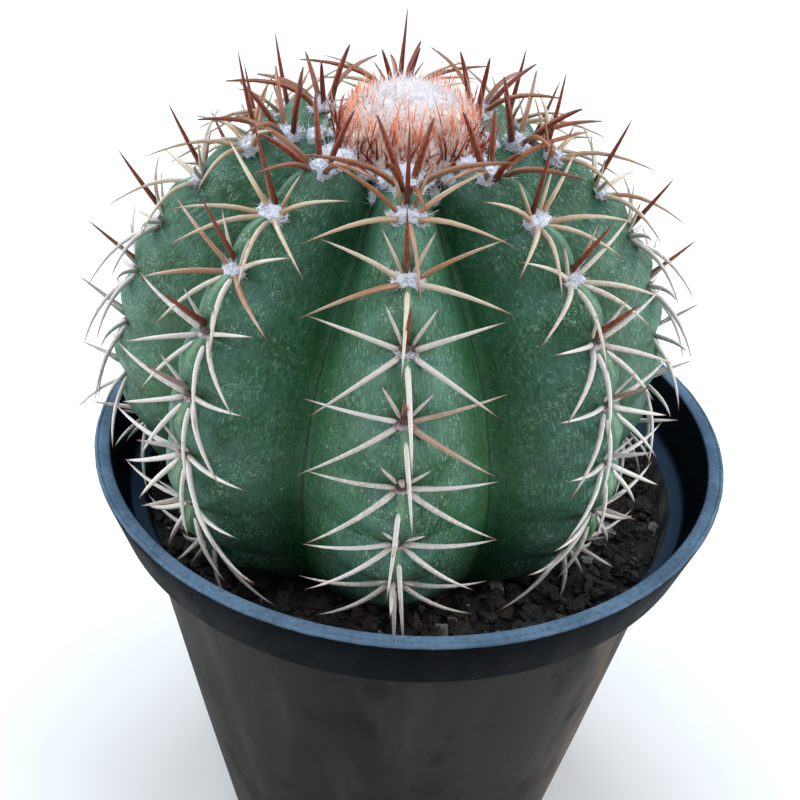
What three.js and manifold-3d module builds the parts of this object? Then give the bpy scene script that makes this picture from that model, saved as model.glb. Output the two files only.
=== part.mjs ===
import * as THREE from 'three';
import { ParametricGeometry } from 'three/addons/geometries/ParametricGeometry.js';
import { mergeVertices } from 'three/addons/utils/BufferGeometryUtils.js';
import Module from 'manifold-3d';

const wasm = await Module();
wasm.setup();

// A ribbed round cactus with a woolly head, growing in a black nursery pot.
// Millimetres, +Z up, front towards -Y. The origin is the middle of the pot's flat underside.

// Pot
const potHeight = 124;
const rimRadius = 77.5;
const rimInnerRadius = 73.8;
const collarHeight = 15;
const collarFootRadius = 73.2;
const collarFootWidth = 1.8;
const shelfDepth = 15.2;
const shelfRadius = 69.8;
const shelfRise = 1;
const shelfThickness = 2;
const wallRadiusUnderCollar = 67.9;
const wallTaper = 0.18;
const wallThickness = 1.6;
const floorThickness = 2;
const footChamfer = 2;
const edgeChamfer = 0.8;
const drainHoleCount = 8;
const drainHoleRadius = 4.5;
const drainHoleSides = 8;
const drainCircleRadius = 33;
const potSides = 40;

// Soil
const soilDepth = 20;
const soilLump = 0.68;
const soilWave = { alongX: 0.41, startX: 1.3, alongY: 0.37, slantX: 0.83, slantY: 0.71, slantShare: 0.6 };
const soilEdgeDrop = 0.5;
const soilRings = [0, 38, 44, 50, 56, 61];
const seatGap = 0.35;

// Stem: radius and height above the pot's rim, from the middle of the crown down to the root's end
const plantShift = -6;
const crestLine = [
  [0, 74.2], [13, 74.4], [20, 75.4], [25.3, 74.9], [33.2, 72.3], [44.8, 64.1], [53.3, 53.7],
  [59.4, 41], [62.4, 28], [63.2, 15], [60.6, 3], [56, -7], [50, -16], [42, -24], [30, -31],
  [14, -37], [8, -46], [5, -56], [0, -58],
];
const furrowLine = [
  [0, 74.2], [10, 73.6], [14, 70.5], [18, 65.5], [24, 58.5], [32.5, 50.5], [40.3, 43],
  [46, 35], [49.8, 25.5], [51.8, 15], [51.3, 3], [49, -7], [44.5, -16], [38, -24], [28, -31],
  [14, -37], [8, -46], [5, -56], [0, -58],
];
const crestDivisions = 1200;
const ribCount = 8;
const firstRibAngle = THREE.MathUtils.degToRad(4.6);
const crestRounding = 0.17;
const humpHeight = 2.7;
const humpFullness = 1.1;
const humpLead = 0.85;
const humpSpread = 1.7;
const columnsPerRib = 6;
const crownEdge = 20;
const soilLine = 134;
const crownRows = 2;
const flankRows = 23;
const rootRows = 4;

// Areoles, as distances along a rib's crest from the middle of the crown
const topAreole = 25.3;
const firstAreoles = [33.6, 39.5];
const areoleSpacing = 13.9;
const areolesBelowTop = 7;
const oldAreole = 100;

// Spines of an areole. Turn is in degrees from the crown's side; the other values run from the
// youngest areole to the oldest one: length, lift off the skin in degrees, and the angle in degrees
// that the spine curls back through. A curled spine is cut into steps, and a straight one has none.
const spineRadius = 0.6;
const spineFullness = 1.35;
const spineRoot = 1.7;
const spineRing = 1.9;
const straightAge = 0.7;
const topSpines = [
  { turn: [-36, -36], length: [14, 14], lift: [68, 68], curl: [14, 14] },
  { turn: [34, 34], length: [13, 13], lift: [70, 70], curl: [14, 14] },
  { turn: [-150, -150], length: [14.5, 14.5], lift: [72, 72], curl: [32, 32], steps: 2 },
  { turn: [172, 172], length: [15, 15], lift: [66, 66], curl: [58, 58], steps: 3 },
  { turn: [-98, -98], length: [17, 17], lift: [62, 62], curl: [58, 58], steps: 3 },
  { turn: [102, 102], length: [17, 17], lift: [62, 62], curl: [58, 58], steps: 3 },
];
const sideSpines = [
  { turn: [-32, -32], length: [12, 7.5], lift: [50, 34], curl: [12, 10] },
  { turn: [36, 36], length: [12, 7.5], lift: [50, 34], curl: [12, 10] },
  { turn: [-8, -8], length: [20, 12], lift: [74, 64], curl: [5, 5] },
  { turn: [-62, -78], length: [17, 17], lift: [48, 22], curl: [42, 30], steps: 2 },
  { turn: [62, 78], length: [17, 17], lift: [48, 22], curl: [42, 30], steps: 2 },
  { turn: [-112, -125], length: [17, 18], lift: [50, 26], curl: [58, 35], steps: 3 },
  { turn: [112, 125], length: [17, 18], lift: [50, 26], curl: [58, 35], steps: 3 },
];
const lowestSpines = [
  [{ turn: [180, 180], length: [17, 21], lift: [62, 34], curl: [62, 35], steps: 3 }],
  [
    { turn: [-150, -150], length: [15, 15], lift: [52, 38], curl: [60, 42], steps: 3 },
    { turn: [150, 150], length: [15, 15], lift: [52, 38], curl: [60, 42], steps: 3 },
  ],
];
const turnJitter = 6;
const liftJitter = 5;
const lengthJitter = 0.08;

// Room that the spines leave round the soil, the pot and the woolly head
const soilClearance = 2.2;
const rimClearance = 1.3;
const headClearance = 1.2;
const liftStep = 7;
const steepestLift = 84;
const shorten = 0.94;
const clearTries = 14;
const clearShares = [0.25, 0.5, 0.75, 1];

// Woolly head
const headShift = 1.3;
const headRadius = 15.2;
const headFoot = 69.5;
const headShoulder = 77.5;
const headTop = 87;
const headSkirt = 1.6;
const headSkirtHeight = 4.5;
const headSides = 24;
const headSteps = 6;
const bristleCount = 84;
const bristleRadius = 0.3;
const bristleLength = [3.2, 1.6];
const bristleRoot = 1;
const bristleLean = 0.5;
const bristleJitter = 0.2;
const leanJitter = 0.12;
const lowRowShare = 0.75;
const lowRowDrop = 2.5;

// Finishes
const potFinish = { color: 0x2b2f33, roughness: 0.5, metalness: 0 };
const soilFinish = { color: 0x231d18, roughness: 1, metalness: 0 };
const stemFinish = { color: 0x2f6148, roughness: 0.55, metalness: 0 };
const headFinish = { color: 0xdf9f86, roughness: 1, metalness: 0 };

let drawState = 20261;

// A repeatable draw between -1 and 1
function draw() {
  drawState = (drawState * 1664525 + 1013904223) % 4294967296;
  return drawState / 2147483648 - 1;
}

function between(pair, share) {
  return pair[0] + (pair[1] - pair[0]) * share;
}

// A closed geometry whose shared corners are one
function welded(geometry) {
  const bare = geometry.clone();
  bare.deleteAttribute('normal');
  bare.deleteAttribute('uv');
  return mergeVertices(bare, 1e-4);
}

function toSolid(geometry) {
  const merged = welded(geometry);
  const corners = [];
  for (let i = 0; i < merged.index.count; i += 3) {
    const [a, b, c] = [0, 1, 2].map((j) => merged.index.getX(i + j));
    if (a !== b && b !== c && c !== a) corners.push(a, b, c);
  }
  return new wasm.Manifold(new wasm.Mesh({
    numProp: 3,
    vertProperties: new Float32Array(merged.attributes.position.array),
    triVerts: new Uint32Array(corners),
  }));
}

function toGeometry(solid) {
  const mesh = solid.getMesh();
  const geometry = new THREE.BufferGeometry();
  geometry.setAttribute('position', new THREE.BufferAttribute(mesh.vertProperties, 3));
  geometry.setIndex(new THREE.BufferAttribute(mesh.triVerts, 1));
  geometry.computeVertexNormals();
  return geometry;
}

function toMesh(name, solid, finish) {
  const mesh = new THREE.Mesh(toGeometry(solid), new THREE.MeshStandardMaterial(finish));
  mesh.name = name;
  return mesh;
}

// A round solid from an outline of [radius, height] pairs, listed anticlockwise
function turned(outline, sides) {
  const points = outline.map(([radius, height]) => new THREE.Vector2(radius, height));
  return new THREE.LatheGeometry(points, sides).rotateX(Math.PI / 2);
}

// Radius of the pot's outer wall at a height above its underside
function wallRadius(height) {
  return wallRadiusUnderCollar - wallTaper * (potHeight - collarHeight - height);
}

// Pot: floor, tapered wall, a shelf inside, and a conical collar up to the flat rim
function makePot() {
  const wallTop = potHeight - collarHeight - shelfThickness;
  const shelf = potHeight - shelfDepth;
  let pot = toSolid(turned([
    [0, 0],
    [wallRadius(0) - footChamfer, 0],
    [wallRadius(0), footChamfer],
    [wallRadius(wallTop), wallTop],
    [collarFootRadius - collarFootWidth, potHeight - collarHeight],
    [collarFootRadius, potHeight - collarHeight],
    [rimRadius, potHeight - edgeChamfer],
    [rimRadius - edgeChamfer, potHeight],
    [rimInnerRadius, potHeight],
    [shelfRadius, shelf + shelfRise],
    [wallRadius(shelf) - wallThickness, shelf],
    [wallRadius(floorThickness) - wallThickness, floorThickness],
    [0, floorThickness],
  ], potSides));
  for (let i = 0; i < drainHoleCount; i += 1) {
    const angle = (i + 0.5) * 2 * Math.PI / drainHoleCount;
    const hole = new THREE.CylinderGeometry(
      drainHoleRadius, drainHoleRadius, 4 * floorThickness, drainHoleSides);
    hole.rotateX(Math.PI / 2);
    hole.translate(drainCircleRadius * Math.cos(angle), drainCircleRadius * Math.sin(angle), 0);
    pot = pot.subtract(toSolid(hole));
  }
  return pot;
}

// Two crossed waves that stand in for the loose chips on the soil
function soilLumpAt(x, y) {
  return Math.sin(soilWave.alongX * x + soilWave.startX) * Math.cos(soilWave.alongY * y)
    + soilWave.slantShare * Math.sin(soilWave.slantX * x - soilWave.slantY * y);
}

// Soil: fills the pot below the shelf, with a lumpy top and the hole that the stem stands in
function makeSoil() {
  const wallAt = (height) => wallRadius(height) - wallThickness - seatGap;
  const floor = floorThickness + seatGap;
  const top = potHeight - soilDepth;
  const outline = [[0, floor], [wallAt(floor), floor], [wallAt(top), top - soilEdgeDrop]];
  for (const radius of [...soilRings].reverse()) outline.push([radius, top]);
  const body = welded(turned(outline, potSides));
  const places = body.attributes.position;
  for (let i = 0; i < places.count; i += 1) {
    const [x, y, z] = [places.getX(i), places.getY(i), places.getZ(i)];
    if (z < top - soilEdgeDrop / 2) continue;
    places.setZ(i, z + soilLump * soilLumpAt(x, y));
  }
  const stemHole = makeStem(seatGap).translate([plantShift, 0, potHeight]);
  return toSolid(body).subtract(stemHole);
}

const crest = new THREE.SplineCurve(crestLine.map(([r, z]) => new THREE.Vector2(r, z)));
const furrow = new THREE.SplineCurve(furrowLine.map(([r, z]) => new THREE.Vector2(r, z)));
crest.arcLengthDivisions = crestDivisions;
const crestLength = crest.getLength();

// The spline parameter at a distance along the crest
function crestAt(distance) {
  return crest.getUtoTmapping(distance / crestLength);
}

// How far the crest stands out between two areoles, most of all just above the middle, with a notch
// at each areole
function hump(rib, distance) {
  const first = firstAreoles[rib % 2];
  const last = first + areoleSpacing * (areolesBelowTop - 1);
  if (distance <= topAreole || distance > last + areoleSpacing) return 0;
  const share = distance < first
    ? (distance - topAreole) / (first - topAreole)
    : (distance - first) / areoleSpacing;
  const full = distance < first ? (first - topAreole) / areoleSpacing : 1;
  return humpHeight * full * Math.max(0, Math.sin(Math.PI * (share % 1) ** humpLead)) ** humpFullness;
}

// A point of the stem's skin. Column counts ribs round the stem, with a furrow at each whole number
// and a half; distance is measured along the crest; grow moves the skin outwards.
function skinPoint(column, distance, grow, target) {
  const rib = Math.round(column);
  const across = Math.abs(column - rib) * 2;
  const slope = (Math.hypot(across, crestRounding) - crestRounding)
    / (Math.hypot(1, crestRounding) - crestRounding);
  const t = crestAt(distance);
  const profile = furrow.getPoint(t).lerp(crest.getPoint(t), 1 - slope);
  const along = furrow.getTangent(t).lerp(crest.getTangent(t), 1 - slope).normalize();
  const out = grow + hump(rib % ribCount, distance) * (1 - slope) ** humpSpread;
  const radius = Math.max(0, profile.x - out * along.y);
  const angle = firstRibAngle + column * 2 * Math.PI / ribCount;
  return target.set(radius * Math.sin(angle), -radius * Math.cos(angle), profile.y + out * along.x);
}

// The distance along the crest of each row of the stem's net, close together on the flanks
function rowDistance(row) {
  if (row <= crownRows) return crownEdge * row / crownRows;
  if (row <= crownRows + flankRows) {
    return crownEdge + (soilLine - crownEdge) * (row - crownRows) / flankRows;
  }
  return soilLine + (crestLength - soilLine) * (row - crownRows - flankRows) / rootRows;
}

// Stem without spines, its skin moved out by grow
function makeStem(grow) {
  const rows = crownRows + flankRows + rootRows;
  const columns = ribCount * columnsPerRib;
  return toSolid(new ParametricGeometry((u, v, target) => {
    const row = Math.round(v * rows);
    const column = (Math.round((1 - u) * columns) % columns) / columnsPerRib;
    skinPoint(column, rowDistance(row), grow, target);
    if (row === 0) target.set(0, 0, crestLine.at(0)[1] + grow);
    if (row === rows) target.set(0, 0, crestLine.at(-1)[1] - grow);
  }, columns, rows));
}

// Place and directions of an areole: up points to the crown along the crest, out leaves the skin
function areoleFrame(rib, distance) {
  const angle = firstRibAngle + rib * 2 * Math.PI / ribCount;
  const outward = new THREE.Vector3(Math.sin(angle), -Math.cos(angle), 0);
  const side = new THREE.Vector3(Math.cos(angle), Math.sin(angle), 0);
  const t = crestAt(distance);
  const profile = crest.getPoint(t);
  const along = crest.getTangent(t);
  const up = outward.clone().multiplyScalar(-along.x).setZ(-along.y);
  const out = outward.clone().multiplyScalar(-along.y).setZ(along.x);
  const place = outward.clone().multiplyScalar(profile.x).setZ(profile.y);
  return { place, up, out, side };
}

// A point of a spine, from its foot at share 0 to its tip at share 1
function spinePoint(spine, share) {
  return spine.foot.clone()
    .addScaledVector(spine.aim, spine.length * share)
    .addScaledVector(spine.bend, spine.length * share * share);
}

// Radius of the pot's mouth at a height above the rim, which is below zero inside the pot
function mouthRadius(height) {
  if (height < -shelfDepth) return wallRadiusUnderCollar - wallThickness;
  return rimInnerRadius + (rimInnerRadius - shelfRadius) * Math.min(height, 0) / shelfDepth;
}

// True where a spine comes too near to the soil, the pot's mouth, or the woolly head
function touches(spine) {
  return clearShares.some((share) => {
    const point = spinePoint(spine, share);
    const fromPotAxis = Math.hypot(point.x + plantShift, point.y);
    const fromHeadAxis = Math.hypot(point.x - headShift, point.y);
    const low = point.z < soilClearance - soilDepth;
    const atRim = fromPotAxis > mouthRadius(point.z) - rimClearance && point.z < rimClearance;
    const atHead = fromHeadAxis < headRadius + headClearance && point.z < headTop + headClearance;
    return low || atRim || atHead;
  });
}

// A spine of one kind, raised and shortened until it is clear of its surroundings
function makeSpine(frame, kind, age) {
  const turn = THREE.MathUtils.degToRad(between(kind.turn, age) + turnJitter * draw());
  let lift = between(kind.lift, age) + liftJitter * draw();
  let length = between(kind.length, age) * (1 + lengthJitter * draw());
  const flat = frame.up.clone().multiplyScalar(Math.cos(turn)).addScaledVector(frame.side, Math.sin(turn));
  const foot = frame.place.clone().addScaledVector(flat, spineRing);
  const curl = Math.tan(THREE.MathUtils.degToRad(between(kind.curl, age))) / 2;
  const steps = kind.steps && age < straightAge ? kind.steps : 1;
  let spine;
  for (let i = 0; i < clearTries; i += 1) {
    const raised = THREE.MathUtils.degToRad(lift);
    const aim = flat.clone().multiplyScalar(Math.cos(raised)).addScaledVector(frame.out, Math.sin(raised));
    const bend = flat.clone().multiplyScalar(curl * Math.sin(raised))
      .addScaledVector(frame.out, -curl * Math.cos(raised));
    spine = { foot, aim, bend, out: frame.out, length, steps };
    if (!touches(spine)) break;
    lift = Math.min(lift + liftStep, steepestLift);
    length *= shorten;
  }
  return spine;
}

// A three-sided needle that follows a spine, its root sunk straight into the stem
function needle(spine) {
  const geometry = welded(new THREE.ConeGeometry(spineRadius, 1, 3, spine.steps));
  const across = new THREE.Vector3().crossVectors(spine.aim, spine.out).normalize();
  const places = geometry.attributes.position;
  for (let i = 0; i < places.count; i += 1) {
    const share = places.getY(i) + 0.5;
    const full = share === 0 ? 1 : spineFullness;
    const heading = spine.aim.clone().addScaledVector(spine.bend, 2 * share).normalize();
    const over = new THREE.Vector3().crossVectors(across, heading);
    const point = spinePoint(spine, share)
      .addScaledVector(across, places.getX(i) * full)
      .addScaledVector(over, places.getZ(i) * full);
    if (share === 0) point.addScaledVector(spine.out, -spineRoot);
    places.setXYZ(i, point.x, point.y, point.z);
  }
  return toSolid(geometry);
}

// Distances along the crest of a rib's areoles, from the crown down
function areoleDistances(rib) {
  const distances = [topAreole];
  for (let i = 0; i < areolesBelowTop; i += 1) {
    distances.push(firstAreoles[rib % 2] + i * areoleSpacing);
  }
  return distances;
}

// Stem with the spines of all its areoles, grown as one body
function makeCactus() {
  const grown = [makeStem(0)];
  for (let rib = 0; rib < ribCount; rib += 1) {
    for (const distance of areoleDistances(rib)) {
      const frame = areoleFrame(rib, distance);
      const age = THREE.MathUtils.clamp((distance - topAreole) / (oldAreole - topAreole), 0, 1);
      const kinds = distance === topAreole ? topSpines : [...sideSpines, ...lowestSpines[rib % 2]];
      for (const kind of kinds) grown.push(needle(makeSpine(frame, kind, age)));
    }
  }
  return wasm.Manifold.union(grown);
}

// Woolly head: a steep dome with bristles, its foot fitted to the crown
function makeHead() {
  const skirt = headRadius + headSkirt;
  const outline = [[0, headFoot], [skirt, headFoot], [skirt, headFoot + headSkirtHeight]];
  for (let i = 0; i <= headSteps; i += 1) {
    const angle = i * Math.PI / 2 / headSteps;
    const height = headShoulder + (headTop - headShoulder) * Math.sin(angle);
    outline.push([i === headSteps ? 0 : headRadius * Math.cos(angle), height]);
  }
  const grown = [toSolid(turned(outline, headSides))];
  const golden = Math.PI * (3 - Math.sqrt(5));
  for (let i = 0; i < bristleCount; i += 1) {
    const steep = Math.PI / 2 * Math.sqrt((i + 0.5) / bristleCount);
    const angle = i * golden;
    const radius = headRadius * Math.sin(steep);
    const height = headShoulder + (headTop - headShoulder) * Math.cos(steep)
      - (i > lowRowShare * bristleCount ? lowRowDrop * (i % 2) : 0);
    const length = between(bristleLength, Math.cos(steep)) * (1 + bristleJitter * draw());
    const lean = steep * bristleLean + leanJitter * draw();
    const aim = new THREE.Vector3(
      Math.sin(lean) * Math.cos(angle), Math.sin(lean) * Math.sin(angle), Math.cos(lean));
    const bristle = welded(new THREE.ConeGeometry(bristleRadius, length + bristleRoot, 3));
    bristle.translate(0, (length - bristleRoot) / 2, 0);
    bristle.applyQuaternion(new THREE.Quaternion().setFromUnitVectors(new THREE.Vector3(0, 1, 0), aim));
    bristle.translate(radius * Math.cos(angle), radius * Math.sin(angle), height);
    grown.push(toSolid(bristle));
  }
  const head = wasm.Manifold.union(grown).translate([headShift, 0, 0]);
  return head.subtract(makeStem(seatGap));
}

const plant = new THREE.Group();
plant.position.set(plantShift, 0, potHeight);
plant.add(toMesh('cactus_body', makeCactus(), stemFinish));
plant.add(toMesh('cephalium', makeHead(), headFinish));

const pottedCactus = new THREE.Group();
pottedCactus.add(toMesh('pot', makePot(), potFinish));
pottedCactus.add(toMesh('soil', makeSoil(), soilFinish));
pottedCactus.add(plant);

export default pottedCactus;
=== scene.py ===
import math
import random
from collections import namedtuple

import bpy
import numpy as np
from mathutils import Matrix, Vector, noise


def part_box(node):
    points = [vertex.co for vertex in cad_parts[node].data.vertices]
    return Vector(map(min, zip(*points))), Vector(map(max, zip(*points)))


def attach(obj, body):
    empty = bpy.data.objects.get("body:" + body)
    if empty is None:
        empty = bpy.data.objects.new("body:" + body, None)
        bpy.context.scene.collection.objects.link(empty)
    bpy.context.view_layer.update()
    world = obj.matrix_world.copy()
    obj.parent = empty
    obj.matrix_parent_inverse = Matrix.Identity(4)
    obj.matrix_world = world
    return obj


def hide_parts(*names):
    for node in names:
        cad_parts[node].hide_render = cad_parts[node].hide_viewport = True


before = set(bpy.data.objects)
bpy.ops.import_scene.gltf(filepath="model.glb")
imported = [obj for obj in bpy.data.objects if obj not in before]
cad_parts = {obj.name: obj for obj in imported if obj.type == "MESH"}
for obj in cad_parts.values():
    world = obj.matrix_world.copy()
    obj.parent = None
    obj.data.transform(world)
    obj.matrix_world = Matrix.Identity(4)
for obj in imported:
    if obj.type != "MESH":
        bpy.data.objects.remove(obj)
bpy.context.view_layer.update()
bpy.ops.object.select_all(action="DESELECT")

# A ribbed round cactus with a woolly head, in a black nursery pot.
# Sizes are in millimetres, and heights of the plant are measured from the pot's rim.
MM = 0.001

# Pot
POT_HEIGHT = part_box("pot")[1].z / MM
RIM_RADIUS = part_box("pot")[1].x / MM
RIM_INNER_RADIUS = 73.8
COLLAR_HEIGHT = 15
COLLAR_FOOT_RADIUS = 73.2
COLLAR_FOOT_WIDTH = 1.8
SHELF_DEPTH = 15.2
SHELF_RADIUS = 69.8
SHELF_RISE = 1
SHELF_THICKNESS = 2
WALL_RADIUS = 67.9
WALL_TAPER = 0.18
WALL_THICKNESS = 1.6
FLOOR_THICKNESS = 2
FOOT_CHAMFER = 2
DRAIN_HOLES = 8
DRAIN_RADIUS = 4.5
DRAIN_CIRCLE = 33
POT_SIDES = 320
RAGGED_EDGE = 0.25

# Soil: its chips lie inside a ring round the pot's middle and outside a ring round the stem
SOIL_DEPTH = 20
SOIL_LUMP = 0.68
SOIL_CRUMB = 0.9
SOIL_RINGS = 60
SOIL_TURNS = 240
SEAT_GAP = 0.35
CHIP_COUNT = 1700
CHIP_SIZES = (0.5, 0.7, 0.9, 1.2, 1.7, 2.4)
CHIP_REACH = 65.5
CHIP_RING = 65.6
STEM_RING = 44

# Stem: radius and height, from the middle of the crown down to the root's end. The soil line is a
# distance down a crest.
PLANT_SHIFT = -6
CREST_LINE = [
    (0, 74.2), (13, 74.4), (20, 75.4), (25.3, 74.9), (33.2, 72.3), (44.8, 64.1), (53.3, 53.7),
    (59.4, 41), (62.4, 28), (63.2, 15), (60.6, 3), (56, -7), (50, -16), (42, -24), (30, -31),
    (14, -37), (8, -46), (5, -56), (0, -58),
]
FURROW_LINE = [
    (0, 74.2), (10, 73.6), (14, 70.5), (18, 65.5), (24, 58.5), (32.5, 50.5), (40.3, 43),
    (46, 35), (49.8, 25.5), (51.8, 15), (51.3, 3), (49, -7), (44.5, -16), (38, -24), (28, -31),
    (14, -37), (8, -46), (5, -56), (0, -58),
]
RIBS = 8
FIRST_RIB_ANGLE = math.radians(4.6)
CREST_ROUNDING = 0.17
HUMP_HEIGHT = 2.7
HUMP_FULLNESS = 1.1
HUMP_LEAD = 0.85
HUMP_SPREAD = 1.7
FLANK_SWELL = 0.45
FLANK_RANGE = (18, 34, 120, 140)
SKIN_WAVE = 0.6
SKIN_ROUGHNESS = 0.16
CURVE_STEPS = 1200
SKIN_COLUMNS = RIBS * 30
SKIN_ROWS = 330
CREST_CROWDING = 0.55
SOIL_LINE = 134

# Areoles, as distances along a rib's crest from the middle of the crown
TOP_AREOLE = 25.3
FIRST_AREOLES = (33.6, 39.5)
AREOLE_SPACING = 13.9
AREOLES_BELOW_TOP = 7
OLD_AREOLE = 100

# Spines: turn in degrees from the crown's side, length, lift off the skin in degrees and the angle
# that the spine curls back through, each from the youngest areole to the oldest. Brown is 1 on a dark
# spine and 0 on a pale one, gold tints the foot, and thick is a share of the common radius.
Kind = namedtuple("Kind", "turn length lift curl brown gold thick")
SPINE_RADIUS = 0.6
SPINE_RING = 1.9
SPINE_ROOT = 1.0
SPINE_CUTS = (0.04, 0.14, 0.3, 0.46, 0.62, 0.77, 0.9)
TOP_SPINES = [
    Kind((-36, -36), (14, 14), (68, 68), (14, 14), 1, 0.3, 1.2),
    Kind((34, 34), (13, 13), (70, 70), (14, 14), 1, 0.3, 1.2),
    Kind((-150, -150), (14.5, 14.5), (72, 72), (32, 32), 1, 0.1, 1.25),
    Kind((172, 172), (15, 15), (66, 66), (58, 58), 0.85, 0.3, 1.15),
    Kind((-98, -98), (17, 17), (62, 62), (58, 58), 0.7, 0.8, 1.05),
    Kind((102, 102), (17, 17), (62, 62), (58, 58), 0.7, 0.8, 1.05),
]
SIDE_SPINES = [
    Kind((-32, -32), (12, 7.5), (50, 34), (12, 10), 0.15, 1, 0.75),
    Kind((36, 36), (12, 7.5), (50, 34), (12, 10), 0.15, 1, 0.75),
    Kind((-8, -8), (20, 12), (74, 64), (5, 5), 1, 0.2, 1.05),
    Kind((-62, -78), (17, 17), (48, 22), (42, 30), 0.1, 1, 0.95),
    Kind((62, 78), (17, 17), (48, 22), (42, 30), 0.1, 1, 0.95),
    Kind((-112, -125), (17, 18), (50, 26), (58, 35), 0.25, 0.6, 1.05),
    Kind((112, 125), (17, 18), (50, 26), (58, 35), 0.25, 0.6, 1.05),
]
LOWEST_SPINES = [
    [Kind((180, 180), (17, 21), (62, 34), (62, 35), 0.1, 0.3, 1.0)],
    [
        Kind((-150, -150), (15, 15), (52, 38), (60, 42), 0.1, 0.3, 1.05),
        Kind((150, 150), (15, 15), (52, 38), (60, 42), 0.1, 0.3, 1.05),
    ],
]
TURN_JITTER = 6
LIFT_JITTER = 5
LENGTH_JITTER = 0.08
SOIL_CLEARANCE = 2.2
RIM_CLEARANCE = 1.3
HEAD_CLEARANCE = 1.2
LIFT_STEP = 7
STEEPEST_LIFT = 84
SHORTEN = 0.94
CLEAR_TRIES = 14

# Wool: width, length and height of an areole's pad at some ages with its count of fibres, and the tufts
# in the furrows by the head, as a column and a distance down the rib with width, length and height
WOOL_AGES = (0, 0.12, 0.3, 0.5, 1)
WOOL_SIZES = ((3.5, 4.3, 3.5, 2.3, 1.5), (3.6, 3.0, 2.6, 2.1, 1.5), (2.1, 1.7, 1.4, 1.1, 0.7))
AREOLE_FIBRES = (400, 400, 270, 90, 40)
FURROW_WOOL = (
    (0, 19, (3.2, 3.4, 1.6)), (0.5, 17.5, (3.2, 2.8, 2.4)), (0.5, 22, (2.6, 3.6, 2.3)),
    (0.28, 19.5, (2.6, 2.6, 1.4)), (-0.28, 20, (2.4, 2.8, 1.4)),
)
FURROW_AGE = 0.02
FURROW_FIBRES = 75
FIBRE_RADIUS = 0.085
STEM_MIDDLE = 40

# Woolly head: steepness runs from 0 on its top to 1 at its shoulder, and on down its side. A share of
# the places drawn at some steepness has a bristle, and dark needles stand in clusters round its foot.
HEAD_SHIFT = 1.3
HEAD_RADIUS = 15.2
HEAD_FOOT = 69.5
HEAD_SHOULDER = 77.5
HEAD_TOP = 87
HEAD_SKIRT = 1.2
HEAD_CURL = 0.38
STEEPEST = 1.33
FELT_INSET = 0.6
FELT_LUMP = 0.45
FLEECE_REACH = 1.32
FLEECE_FIBRES = 9500
FLEECE_RADIUS = 0.065
BRISTLES = 820
BRISTLE_REACH = 1.36
BRISTLE_SHARES = ((0.2, 0.5, 0.75, 1, 1.2), (0.03, 0.34, 0.52, 0.5, 0.8))
BRISTLE_LENGTHS = ((0, 0.5, 1), (2.2, 4.6, 7.4))
BRISTLE_RADII = ((1, 1.3), (0.12, 0.19))
CLUSTERS = 17
CLUSTER_NEEDLES = (5, 9)


# Shapes

def between(pair, share):
    return pair[0] + (pair[1] - pair[0]) * share


def spline(line, t):
    """Points of the smooth curve through a line's points, at the shares t of its steps."""
    points = np.array(line, dtype=float)
    last = len(points) - 1
    place = np.clip(np.asarray(t, dtype=float), 0, 1) * last
    i = np.minimum(np.floor(place).astype(int), last - 1)
    w = (place - i)[..., None]
    p0, p1 = points[np.maximum(i - 1, 0)], points[i]
    p2, p3 = points[i + 1], points[np.minimum(i + 2, last)]
    v0, v1 = (p2 - p0) / 2, (p3 - p1) / 2
    return (2 * p1 - 2 * p2 + v0 + v1) * w**3 + (3 * p2 - 3 * p1 - 2 * v0 - v1) * w**2 + v0 * w + p1


CREST_STEPS = spline(CREST_LINE, np.linspace(0, 1, CURVE_STEPS + 1))
CREST_DISTANCES = np.concatenate([[0], np.cumsum(np.linalg.norm(np.diff(CREST_STEPS, axis=0), axis=1))])
CREST_LENGTH = CREST_DISTANCES[-1]


def crest_at(distance):
    return np.interp(distance, CREST_DISTANCES, np.linspace(0, 1, CURVE_STEPS + 1))


def tangent(line, t):
    step = spline(line, np.asarray(t) + 1e-4) - spline(line, np.asarray(t) - 1e-4)
    return step / np.maximum(np.linalg.norm(step, axis=-1, keepdims=True), 1e-12)


def areole_share(rib, distance):
    """How far down a distance lies from one areole to the next, from 0 to 1, and that gap's length."""
    first = np.where(rib % 2 == 0, *FIRST_AREOLES)
    above = distance < first
    gap = np.where(above, first - TOP_AREOLE, AREOLE_SPACING)
    return (distance - np.where(above, TOP_AREOLE, first)) / gap % 1, gap


def hump(rib, distance):
    """How far a crest stands out between two areoles, with a notch at each areole."""
    share, gap = areole_share(rib, distance)
    last = np.where(rib % 2 == 0, *FIRST_AREOLES) + AREOLE_SPACING * (AREOLES_BELOW_TOP - 1)
    height = HUMP_HEIGHT * gap / AREOLE_SPACING
    height = height * np.maximum(np.sin(np.pi * share ** HUMP_LEAD), 0) ** HUMP_FULLNESS
    return np.where((distance <= TOP_AREOLE) | (distance > last + AREOLE_SPACING), 0, height)


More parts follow.
